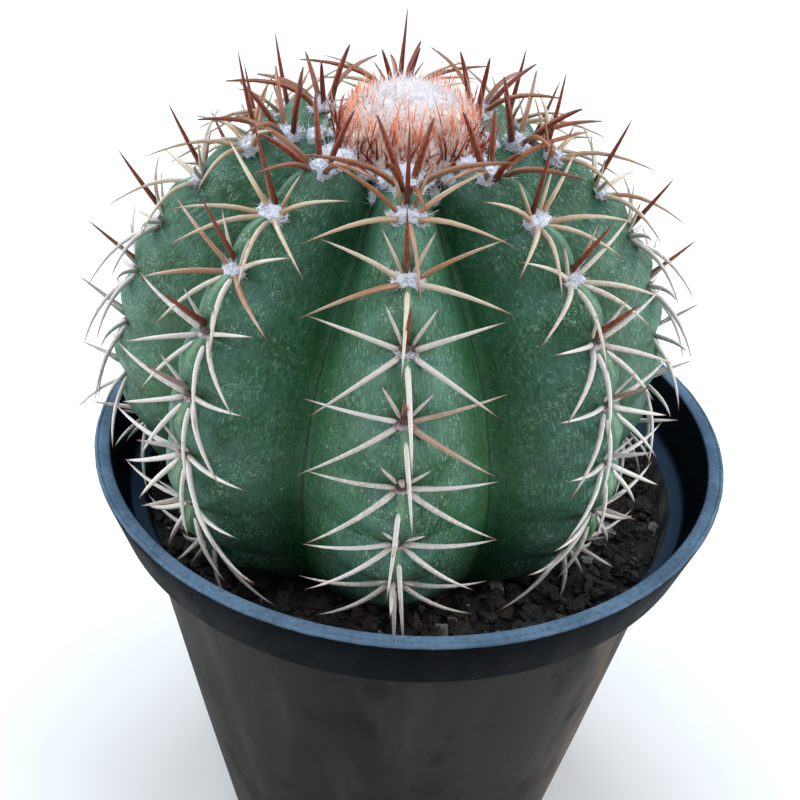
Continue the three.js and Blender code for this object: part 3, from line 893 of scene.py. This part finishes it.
def skin_finish():
    """Waxy green skin: fine pale fibres and scratches along the ribs and small white dots. Painted light and
    shade: a highlight on the crests, shade towards the soil over deeper green older skin, dark lines of shade
    in the furrows, deep green shade in the notches above the areoles and a pale highlight line on the crest
    below them."""
    skin = Finish("green_skin", 0.5, Specular_IOR_Level=0.3)
    mottle, specks, spread, times, cover = skin.mottle, skin.specks, skin.spread, skin.times, skin.cover
    flat = skin.here.node.outputs["UV"]
    across, below = skin.attribute("across"), skin.attribute("below")
    grain, marks = skin.scaled((RIBS * 110, 80, 1), flat), skin.scaled((RIBS * 20, 34, 1), flat)
    crest = spread(across, 1.0, 0.2)
    skin.base = skin.blend(mottle(45), (24, 70, 34), (34, 85, 45))
    cover(mottle(190, 0.4, 0.75), (22, 62, 34), 0.55)
    cover(mottle(90, 0.35, 0.75), (50, 98, 70), 0.35)
    cover(mottle(900, 0.48, 0.75), (84, 128, 98), 0.3)
    # Painted shade: the skin darkens towards the soil, where the pot and soil shade it, over the deeper green
    # of older skin.
    cover(skin.along("Z", POT_HEIGHT + 22, POT_HEIGHT - 14), (8, 40, 10), 0.75)
    # Painted highlight: paler bluish green on the crests, where they catch the light.
    cover(times(crest, mottle(110, 0.25, 0.65)), (86, 130, 116), 0.6)
    worn = skin.maths("ADD", times(crest, 0.85), 0.06)
    fibres = times(mottle(1.0, 0.51, 0.66, grain), mottle(130, 0.3, 0.65))
    cover(times(fibres, worn), (132, 168, 150), 0.7)
    cover(mottle(0.7, 0.48, 0.3, grain), (20, 54, 34), 0.45)
    scurf = times(mottle(2300, 0.53, 0.64), mottle(150, 0.46, 0.66))
    cover(times(scurf, worn), (160, 192, 170), 0.7)
    cover(mottle(420, 0.56, 0.68), (18, 52, 34), 0.35)
    below_areole = times(spread(across, 0.6, 0.1), spread(below, 0.3, 0.1))
    cover(times(below_areole, mottle(150, 0.35, 0.6)), (34, 84, 84), 0.5)
    # Painted shade: deep green in the notch under the hump above each areole.
    notch = times(spread(across, 0.4, 0.05), spread(below, 0.66, 0.98))
    cover(notch, (18, 62, 18), 0.85)
    # Painted highlight: a thin pale line along the sharp crest below each areole.
    crest_highlight_line = times(spread(across, 0.045, 0.012), spread(below, 0.8, 0.1))
    cover(crest_highlight_line, (146, 180, 128), 0.35)
    # Painted shade: a dark line in the crease of each furrow.
    cover(spread(across, 0.975, 0.998), (14, 34, 20), 0.6)
    cover(specks(1.0, 0.1, 0.2, marks), (160, 194, 170), 0.45)
    dots = skin.maths("MAXIMUM", specks(560, 0.15, 0.24), specks(1100, 0.22, 0.16))
    cover(times(dots, spread(across, 0.8, 0.2, 0.3, 1)), (172, 202, 182), 0.6)
    cover(specks(160, 0.04, 0.4), (196, 218, 200), 0.7)
    skin.shine(mottle(160), 0.42, 0.58)
    return skin.done(skin.maths("ADD", mottle(700, 0.2, 0.8), mottle(1.0, 0.3, 0.8, grain)), 0.4, 0.24)


def spine_finish():
    """Horn: cream to white with brown tips where old, amber at the foot where young, and deep
    red-brown on the central and top spines, with fine streaks along it."""
    horn = Finish("spine_horn", 0.28, Specular_IOR_Level=0.4)
    spread, times, cover = horn.spread, horn.times, horn.cover
    share, age, brown, gold, tint = (horn.attribute(key) for key in ("share", "age", "brown", "gold", "tint"))
    streak = horn.mottle(1300)
    horn.base = horn.blend(spread(share, 0.0, 0.6), (60, 15, 8), (112, 40, 22))
    cover(times(streak, tint), (164, 92, 56), 0.55)
    cover(spread(share, 0.75, 1), (80, 50, 46), 0.7)
    deep = horn.base
    horn.base = horn.blend(spread(age, 0.12, 0.6), (208, 196, 170), (216, 213, 209))
    cover(times(tint, streak), (164, 150, 132), 0.6)
    cover(spread(share, 0.8, 1), (112, 70, 48), 0.9)
    cover(times(gold, spread(share, 0.5, 0.02), spread(age, 0.34, 0.14)), (170, 116, 56), 0.9)
    rusty = times(spread(age, 0.8, 0.6), spread(tint, 0.89, 0.91))
    cover(times(rusty, spread(share, 1, 0.4, 0.3, 0.8)), (148, 92, 52))
    cover(times(spread(age, 0.22, 0.02), spread(tint, 0.1, 0.9, 0.35, 0.95)), (164, 106, 52))
    cover(spread(share, 0.1, 0.0), (150, 124, 112), 0.5)
    young = times(spread(age, 0.35, 0.0, 0, 0.5), spread(tint, 0.2, 0.8, 0.2, 1))
    fading = spread(age, 0.6, 1.0, 1, 0.15)
    cover(times(horn.maths("MAXIMUM", brown, young), fading), deep)
    return horn.done(streak, 0.3, 0.12)


def wool_finish():
    """Soft wool: bluish white when young, pinkish grey when old, with lilac-blue painted shade between its
    clumps and a dark brown hollow of painted shade above.
    """
    wool = Finish("areole_wool", 0.95, Sheen_Weight=0.25, Sheen_Roughness=0.5)
    spread, mottle, age = wool.spread, wool.mottle, wool.attribute("age")
    old = spread(age, 0.35, 0.7)
    wool.base = wool.blend(old, (220, 226, 240), (176, 162, 162))
    wool.cover(spread(wool.attribute("tint"), 0.1, 0.8), wool.blend(old, (252, 253, 255), (222, 212, 210)))
    # Painted shade: lilac-blue patches in the gaps between the wool's clumps.
    wool.cover(mottle(1300, 0.5, 0.7), (146, 156, 190), 0.4)
    # Painted shade: dark brown over the top of older pads, for the hole behind the central spines.
    hollow = wool.times(spread(wool.attribute("upper"), 0.1, 0.7), spread(age, 0.34, 0.46))
    wool.cover(hollow, (66, 36, 28), 0.9)
    return wool.done(mottle(1600, 0.2, 0.8), 0.8, 0.35)


def head_finish():
    """Wool of the head: white on top, pinkish lower down, with dark red gaps near its foot and fine
    grey-lilac patches of painted shade. Some light passes through it."""
    wool = Finish("head_wool_white", 0.95, Sheen_Weight=0.7, Sheen_Roughness=0.5, Subsurface_Weight=0.25,
                  Subsurface_Scale=0.003)
    mottle, times = wool.mottle, wool.times
    strips = wool.scaled((1, 1, 0.2))
    top, shoulder = POT_HEIGHT + HEAD_TOP, POT_HEIGHT + HEAD_SHOULDER
    low = wool.along("Z", top - 0.8, shoulder + 3)
    foot = wool.along("Z", shoulder + 1, shoulder - 4)
    wool.base = wool.blend(low, (238, 232, 235), (255, 240, 232))
    wool.cover(times(low, mottle(420, 0.46, 0.68, strips)), (255, 196, 170), 0.55)
    wool.cover(times(foot, mottle(220, 0.52, 0.64, strips)), (138, 52, 38), 0.55)
    # Painted shade: fine grey-lilac patches between the fibres.
    wool.cover(mottle(1200, 0.55, 0.8), (190, 180, 196), 0.25)
    return wool.done(mottle(1500, 0.2, 0.8), 0.8, 0.35)


def bristle_finish():
    """Bristles: glowing orange, and darker red towards their feet low on the head and in the clusters."""
    bristle = Finish("bristle_orange", 0.4, Specular_IOR_Level=0.4)
    spread, times = bristle.spread, bristle.times
    share, tint, age = (bristle.attribute(key) for key in ("share", "tint", "age"))
    bristle.base = bristle.blend(spread(share, 0, 0.7), (220, 116, 78), (248, 168, 126))
    bristle.cover(spread(tint, 0.6, 1), (186, 82, 48), 0.7)
    foot = times(spread(age, 0.7, 0.85), bristle.mottle(210, 0.46, 0.58))
    bristle.cover(times(foot, spread(share, 1.1, 0.5)), (98, 22, 12), 0.9)
    dark = bristle.blend(spread(share, 0.3, 1), (104, 24, 13), (168, 74, 40))
    bristle.cover(bristle.attribute("brown"), dark)
    return bristle.done()


def pot_finish():
    """Black moulded plastic: satin on the collar, dusty on the rim under a painted blue-grey sky reflection,
    a painted sky reflection on the inner shelf, and streaked, smeared and dusty on the wall with a warm
    painted highlight on its right side."""
    plastic = Finish("black_plastic", 0.5, Specular_IOR_Level=0.012)
    mottle, specks, spread, times, cover = (
        plastic.mottle, plastic.specks, plastic.spread, plastic.times, plastic.cover)
    drawn, streaked = plastic.scaled((1, 1, 0.3)), plastic.scaled((1, 1, 0.12))
    plastic.base = plastic.blend(mottle(60), (5, 10, 15), (9, 15, 21))
    collar_foot = POT_HEIGHT - COLLAR_HEIGHT
    wall = plastic.along("Z", collar_foot + 1, collar_foot - 1)
    cover(times(wall, spread(mottle(22, 0.25, 0.75, drawn), 0, 1, 0.6, 0.95)), (56, 55, 53))
    cover(times(wall, mottle(14, 0.48, 0.66)), (38, 40, 40), 0.65)
    cover(times(wall, mottle(75, 0.5, 0.72, streaked)), (80, 79, 78), 0.35)
    cover(times(wall, mottle(48, 0.57, 0.63)), (32, 35, 36), 0.5)
    # Painted highlight: a warm lighter patch on the right side of the wall.
    right_highlight = plastic.along("X", 30, 66)
    cover(times(wall, right_highlight, mottle(60, 0.4, 0.6, drawn)), (122, 108, 96), 0.7)
    cover(specks(160, 0.06, 0.3, drawn), (62, 62, 60), 0.4)
    cover(times(specks(900, 0.2, 0.2, streaked), mottle(30, 0.55, 0.7)), (84, 96, 110), 0.4)
    # Painted reflection: blue sky on the upward face of the inner shelf.
    away = plastic.add("ShaderNodeVectorMath", {0: plastic.here, 1: (1, 1, 0)}, operation="MULTIPLY")
    away = plastic.add("ShaderNodeVectorMath", {0: away}, "Value", operation="LENGTH")
    inside = spread(away, (SHELF_RADIUS + 0.6) * MM, (SHELF_RADIUS - 0.1) * MM)
    shelf_top = POT_HEIGHT - SHELF_DEPTH + SHELF_RISE
    cover(times(inside, plastic.along("Z", shelf_top - 2, shelf_top - 1.2)), (46, 64, 84), 0.8)
    # Painted reflection of a blue sky over dust on the rim's top; the pale specks are dust.
    rim = plastic.along("Z", POT_HEIGHT - 0.8, POT_HEIGHT - 0.3)
    cover(rim, plastic.blend(mottle(55), (76, 96, 116), (95, 119, 141)), 0.95)
    cover(times(rim, mottle(900, 0.45, 0.75)), (44, 60, 80), 0.5)
    cover(times(rim, specks(700, 0.16, 0.25)), (146, 166, 186), 0.6)
    plastic.shine(mottle(140, place=drawn), 0.44, 0.52)
    return plastic.done(mottle(900, 0.3, 0.7), 0.2, 0.1)


def soil_finish():
    """Potting mix: nearly black and damp, with a few pale grains."""
    soil = Finish("dark_soil", 0.9)
    soil.base = soil.blend(soil.mottle(300), (12, 11, 12), (44, 38, 36))
    soil.cover(soil.specks(700, 0.3, 0.08), (150, 150, 152), 0.6)
    soil.cover(soil.specks(1500, 0.3, 0.15), (110, 116, 124), 0.5)
    return soil.done(soil.mottle(900, 0.2, 0.8), 0.9, 0.6)


def chip_finish():
    """Bark chips: black to dull brown, and a few grey ones."""
    bark = Finish("bark_chips", 0.75)
    tint = bark.attribute("tint")
    bark.base = bark.blend(bark.spread(tint, 0, 0.9), (18, 17, 18), (70, 62, 57))
    bark.cover(bark.spread(tint, 0.95, 0.98), (150, 148, 144))
    bark.cover(bark.mottle(700), (22, 19, 18), 0.5)
    bark.cover(bark.specks(1300, 0.3, 0.12), (120, 124, 130), 0.5)
    return bark.done(bark.mottle(1100, 0.2, 0.8), 0.8, 0.4)


# Assembly

def settle(piece, material, slot, *nodes):
    piece.data.materials.clear()
    piece.data.materials.append(material)
    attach(piece, "root")
    if nodes:
        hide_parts(*nodes)


skin = make_skin()
spines = make_spines()
felt, hairs = make_wool()
dome, head_wool, bristles = make_head()
pot = make_pot()
drill(pot)
bed = make_soil()
chips = make_chips()

loose_wool = wool_finish()
white_wool = head_finish()
settle(skin, skin_finish(), "cactus_body", "cactus_body")
settle(spines, spine_finish(), "cactus_body")
settle(felt, loose_wool, "cactus_body")
settle(hairs, loose_wool, "cactus_body")
settle(dome, white_wool, "cephalium", "cephalium")
settle(head_wool, white_wool, "cephalium")
settle(bristles, bristle_finish(), "cephalium")
settle(pot, pot_finish(), "pot", "pot")
settle(bed, soil_finish(), "soil", "soil")
settle(chips, chip_finish(), "soil")


# Stage, in metres

LIGHT_AIM = 0.15
LIGHT_DISTANCE = 1.3


def make_floor():
    bpy.ops.mesh.primitive_plane_add(size=8, location=(0, 0, -0.0002))
    floor = named("floor")
    floor.data.materials.append(Finish("pale_floor", 0.9, Base_Color=(0.7, 0.7, 0.7, 1)).material)


def make_light(name, turn, rise, size, power, tone):
    """A soft square light, turned round from the front and raised by some degrees, that faces the plant."""
    turn, rise = math.radians(turn), math.radians(rise)
    towards = Vector((math.sin(turn) * math.cos(rise), -math.cos(turn) * math.cos(rise), math.sin(rise)))
    lamp = bpy.data.lights.new(name, "AREA")
    lamp.energy, lamp.size, lamp.color = power, size, tone
    light = bpy.data.objects.new(name, lamp)
    light.location = Vector((0, 0, LIGHT_AIM)) + towards * LIGHT_DISTANCE
    light.rotation_mode = "QUATERNION"
    light.rotation_quaternion = towards.to_track_quat("Z", "Y")
    bpy.context.collection.objects.link(light)


def make_camera():
    """The photo's viewpoint: its place over the rim's middle, its turn and its lens."""
    right = Vector((0.9976, 0.0470, 0.0514))
    up = Vector((-0.0689, 0.5602, 0.8255))
    back = right.cross(up).normalized()
    up = back.cross(right)
    lens = bpy.data.cameras.new("camera")
    lens.sensor_width = 36
    lens.lens = 56.34
    camera = bpy.data.objects.new("camera", lens)
    camera.matrix_world = Matrix((right, up, back)).transposed().to_4x4()
    camera.location = (0, -0.2567, POT_HEIGHT * MM + 0.1812)
    bpy.context.collection.objects.link(camera)
    bpy.context.scene.camera = camera


def make_room():
    """The faint even light from all round."""
    world = bpy.data.worlds.new("pale_room")
    world.use_nodes = True
    inputs = world.node_tree.nodes["Background"].inputs
    inputs["Color"].default_value = (0.95, 0.97, 1, 1)
    inputs["Strength"].default_value = 0.15
    bpy.context.scene.world = world


make_floor()
make_light("left_window", -78, 19, 1.1, 14.5, (1, 0.99, 0.97))
make_light("right_window", 82, 18, 1.1, 16.5, (1, 0.99, 0.97))
make_light("sky_above", 0, 90, 1.2, 15.5, (0.8, 0.9, 1))
make_light("front_room", 0, 38, 1.2, 2, (1, 0.98, 0.96))
make_light("left_sky", -138, 28, 0.9, 13, (0.84, 0.92, 1))
make_light("right_sky", 138, 25, 0.9, 9, (0.84, 0.92, 1))
make_room()
bpy.context.scene.view_settings.view_transform = "Standard"
make_camera()
